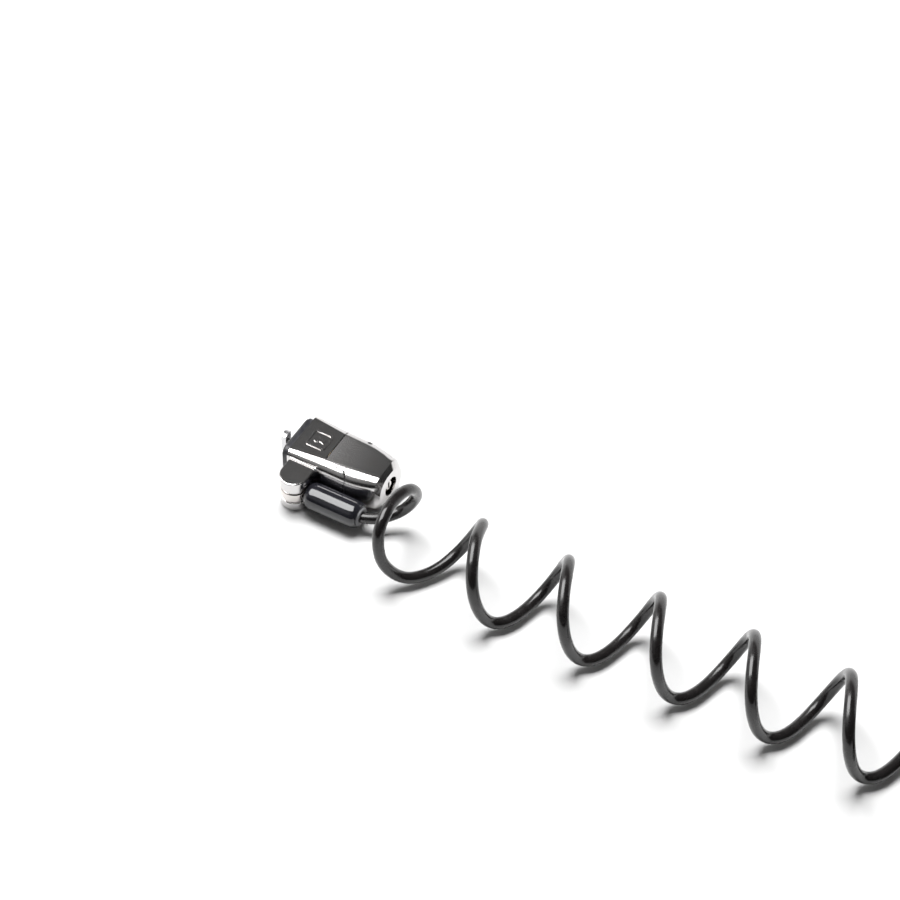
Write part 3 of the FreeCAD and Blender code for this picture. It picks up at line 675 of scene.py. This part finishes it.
def relief(material, pattern, height):
    """Raises the surface by height millimetres at most, by a pattern."""
    nodes = material.node_tree.nodes
    bump = nodes.new("ShaderNodeBump")
    bump.inputs["Distance"].default_value = height * MM
    bump.inputs["Strength"].default_value = 1.0
    material.node_tree.links.new(pattern, bump.inputs["Height"])
    material.node_tree.links.new(bump.outputs["Normal"], nodes["Principled BSDF"].inputs["Normal"])


def lengthwise(material):
    """A pattern that grows along the lock, in metres."""
    nodes = material.node_tree.nodes
    place = nodes.new("ShaderNodeTexCoord")
    split = nodes.new("ShaderNodeSeparateXYZ")
    material.node_tree.links.new(place.outputs["Object"], split.inputs["Vector"])
    return split.outputs["X"]


def plated(name, colour, roughness, at_key_end=None):
    """Bright plating, faintly uneven and slightly warmer in places.

    It has fine polishing marks, or else its roughness runs from the seam to another value at the key end.
    """
    material = new_material(name, colour, 1.0, roughness)
    if at_key_end:
        ends = (SEAM_X * MM, SHOULDER_X * MM)
        vary(material, "Roughness", lengthwise(material), roughness, at_key_end, *ends)
    else:
        marks = noise(material, 0.5, detail=4.0, stretch=(0.3, 1, 1))
        vary(material, "Roughness", marks, roughness * 0.92, roughness * 1.08)
    warm = tuple(c * w for c, w in zip(colour, (0.97, 0.955, 0.94)))
    tint(material, noise(material, 6.0, detail=2.0), colour, warm)
    relief(material, noise(material, 2.4, detail=1.0), 0.0008)
    return material


def turned_metal(name, colour, roughness):
    """Machined metal, with fine rings round the lock's length."""
    material = new_material(name, colour, 1.0, roughness)
    sheen = noise(material, 0.25, detail=4.0, stretch=(1, 0.1, 0.1))
    vary(material, "Roughness", sheen, roughness * 0.7, roughness * 1.4)
    relief(material, noise(material, 0.12, detail=2.0, stretch=(1, 0.05, 0.05)), 0.002)
    return material


def moulded(name, colour, roughness, coat, grain=0.15, height=0.0015):
    """Moulded plastic, with a fine grain and faint handling marks."""
    material = new_material(name, colour, 0.0, roughness, coat)
    marks = noise(material, 2.5, detail=5.0)
    vary(material, "Roughness", marks, roughness * 0.75, roughness * 1.4)
    tint(material, noise(material, 3.0), colour, tuple(c * 1.35 for c in colour))
    relief(material, noise(material, grain, detail=2.0), height)
    return material


def make_materials():
    return {
        "chromed_housing": plated("chromed_housing", (0.62, 0.61, 0.61), 0.16),
        "rear_plating": plated("rear_plating", (0.62, 0.61, 0.61), 0.26, 0.15),
        "chromed_link": plated("chromed_link", (0.66, 0.63, 0.61), 0.08),
        "chromed_post": plated("chromed_post", (0.66, 0.64, 0.62), 0.1),
        "steel": turned_metal("steel", (0.60, 0.60, 0.61), 0.28),
        "dark_steel": turned_metal("dark_steel", (0.10, 0.09, 0.09), 0.35),
        "brass": turned_metal("brass", (0.78, 0.62, 0.34), 0.25),
        # the nose collar's near-black colour is painted reflection: it stands in for the dark laptop that its
        # chrome mirrors beside the nose, which the scene does not hold
        "dark_collar": moulded("dark_collar", (0.012, 0.012, 0.015), 0.38, 0.0, 0.2, 0.004),
        "pad_rubber": moulded("pad_rubber", (0.03, 0.03, 0.03), 0.7, 0.0, 0.25, 0.01),
        "black_sleeve": moulded("black_sleeve", (0.010, 0.010, 0.013), 0.12, 0.55),
        "grey_ring": moulded("grey_ring", (0.12, 0.12, 0.125), 0.4, 0.0, 0.2, 0.004),
        "cable_jacket": moulded("cable_jacket", (0.009, 0.008, 0.008), 0.22, 0.25, 0.8, 0.003),
        "steel_rope": turned_metal("steel_rope", (0.5, 0.5, 0.5), 0.35),
        "aluminium_crimp": turned_metal("aluminium_crimp", (0.7, 0.7, 0.7), 0.35),
    }


# ---- studio -----------------------------------------------------------------

def make_camera():
    data = bpy.data.cameras.new("camera")
    data.lens = LENS
    data.sensor_width = SENSOR
    data.clip_start = 0.01
    camera = bpy.data.objects.new("camera", data)
    bpy.context.scene.collection.objects.link(camera)
    turn, tilt, roll = [math.radians(v) for v in CAMERA_TURN]
    camera.matrix_world = (Matrix.Translation(Vector(CAMERA_PLACE) * MM) @ Matrix.Rotation(turn, 4, "Z")
                           @ Matrix.Rotation(tilt, 4, "X") @ Matrix.Rotation(roll, 4, "Z"))
    bpy.context.scene.camera = camera


def area_light(name, place, size, watts, seen_in):
    """A rectangular light over the lock. It is seen in what is glossy, or else it lights what is matt."""
    data = bpy.data.lights.new(name, "AREA")
    data.shape = "RECTANGLE"
    data.size, data.size_y = size
    data.energy = watts
    lamp = bpy.data.objects.new(name, data)
    bpy.context.scene.collection.objects.link(lamp)
    lamp.location = place
    lamp.rotation_euler = (Vector(LIGHTS_AIM) - Vector(place)).to_track_quat("-Z", "Y").to_euler()
    lamp.visible_glossy = seen_in == "gloss"
    lamp.visible_diffuse = seen_in != "gloss"


def world_range(nodes, links, direction, axis, ends, values):
    """A value by direction: it runs softly between two values as the direction leans along an axis."""
    lean = nodes.new("ShaderNodeVectorMath")
    lean.operation = "DOT_PRODUCT"
    lean.inputs[1].default_value = axis
    spread = nodes.new("ShaderNodeMapRange")
    spread.interpolation_type = "SMOOTHSTEP"
    spread.inputs["From Min"].default_value, spread.inputs["From Max"].default_value = ends
    spread.inputs["To Min"].default_value, spread.inputs["To Max"].default_value = values
    links.new(direction, lean.inputs[0])
    links.new(lean.outputs["Value"], spread.inputs["Value"])
    return spread.outputs["Result"]


def studio_walls():
    """The room's light by direction: dim above, dark on the near side, and pale low down on the far side."""
    world = bpy.data.worlds.new("studio")
    world.use_nodes = True
    nodes = world.node_tree.nodes
    links = world.node_tree.links
    nodes["Background"].inputs["Color"].default_value = (1, 1, 1, 1)
    direction = nodes.new("ShaderNodeTexCoord").outputs["Generated"]
    wall = world_range(nodes, links, direction, WALL_TOWARDS, (0.28, 0.5), (0.0, WALL_WHITE))
    card = world_range(nodes, links, direction, (1.0, 0.0, 0.0), (-0.45, 0.05), (CARD_GREY, CARD_DARK))
    near = world_range(nodes, links, direction, (0.0, 1.0, 0.0), (-0.4, 0.3), (NEAR_SHARE, 1.0))
    left = world_range(nodes, links, direction, LEFT_TOWARDS, (0.62, 0.8), (0.0, LEFT_WHITE))
    fringe = world_range(nodes, links, direction, FRINGE_TOWARDS, (0.92, 0.99), (0.0, FRINGE))
    for light in (left, fringe):
        both = nodes.new("ShaderNodeMath")
        both.operation = "ADD"
        links.new(wall, both.inputs[0])
        links.new(light, both.inputs[1])
        wall = both.outputs["Value"]
    room = nodes.new("ShaderNodeMath")
    room.operation = "MULTIPLY_ADD"
    links.new(card, room.inputs[0])
    links.new(near, room.inputs[1])
    links.new(wall, room.inputs[2])
    links.new(room.outputs["Value"], nodes["Background"].inputs["Strength"])
    bpy.context.scene.world = world


def make_studio():
    bpy.ops.mesh.primitive_plane_add(size=FLOOR_SIZE, location=(0, 0, FLOOR_LEVEL))
    floor = bpy.context.object
    floor.name = "floor"
    floor.data.materials.append(new_material("floor", FLOOR_GREY, 0, 0.6, specular=0.1))
    studio_walls()
    area_light("softbox", SOFTBOX_PLACE, SOFTBOX_SIZE, SOFTBOX_POWER, "gloss")
    area_light("lamp", LAMP_PLACE, LAMP_SIZE, LAMP_POWER, "matt")
    bpy.context.scene.view_settings.view_transform = "Standard"


# ---- the model --------------------------------------------------------------

def place(piece, body, slot, *nodes):
    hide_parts(*nodes)
    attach(piece, body)


def main():
    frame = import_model()
    materials = make_materials()

    cable = make_cable(materials["cable_jacket"])
    place(cable, "cable", "cable_jacket",
          "cable_lead", "cable_coil", "cable_coil_closed", "cable_tail", "cable_loop")
    cover = crimp_cover(materials["black_sleeve"])
    place(cover, "cable", "black_sleeve", "loop_crimp_cover")

    place(front_housing(materials["chromed_housing"]), "lock_head", "chromed_housing", "front_housing")
    place(emblem(materials["chromed_housing"]), "lock_head", "chromed_housing", "front_housing")
    place(rear_housing(materials["rear_plating"]), "lock_head", "chromed_housing", "rear_housing")
    place(link(materials["chromed_link"]), "link", "chromed_link", "cable_link")
    place(sleeve(materials["black_sleeve"]), "cable", "black_sleeve", "cable_sleeve")
    place(end_ring(materials["grey_ring"]), "cable", "grey_ring", "sleeve_end_ring")

    slots = {part["node"]: part["material_slot"] for part in frame["record"]["subparts"]}
    for name, node in frame["nodes"].items():
        node.data.materials.clear()
        node.data.materials.append(materials[slots[name]])
        node.data.shade_smooth()
        node.data.set_sharp_from_angle(angle=math.radians(SMOOTH_NODE))

    make_camera()
    make_studio()


main()
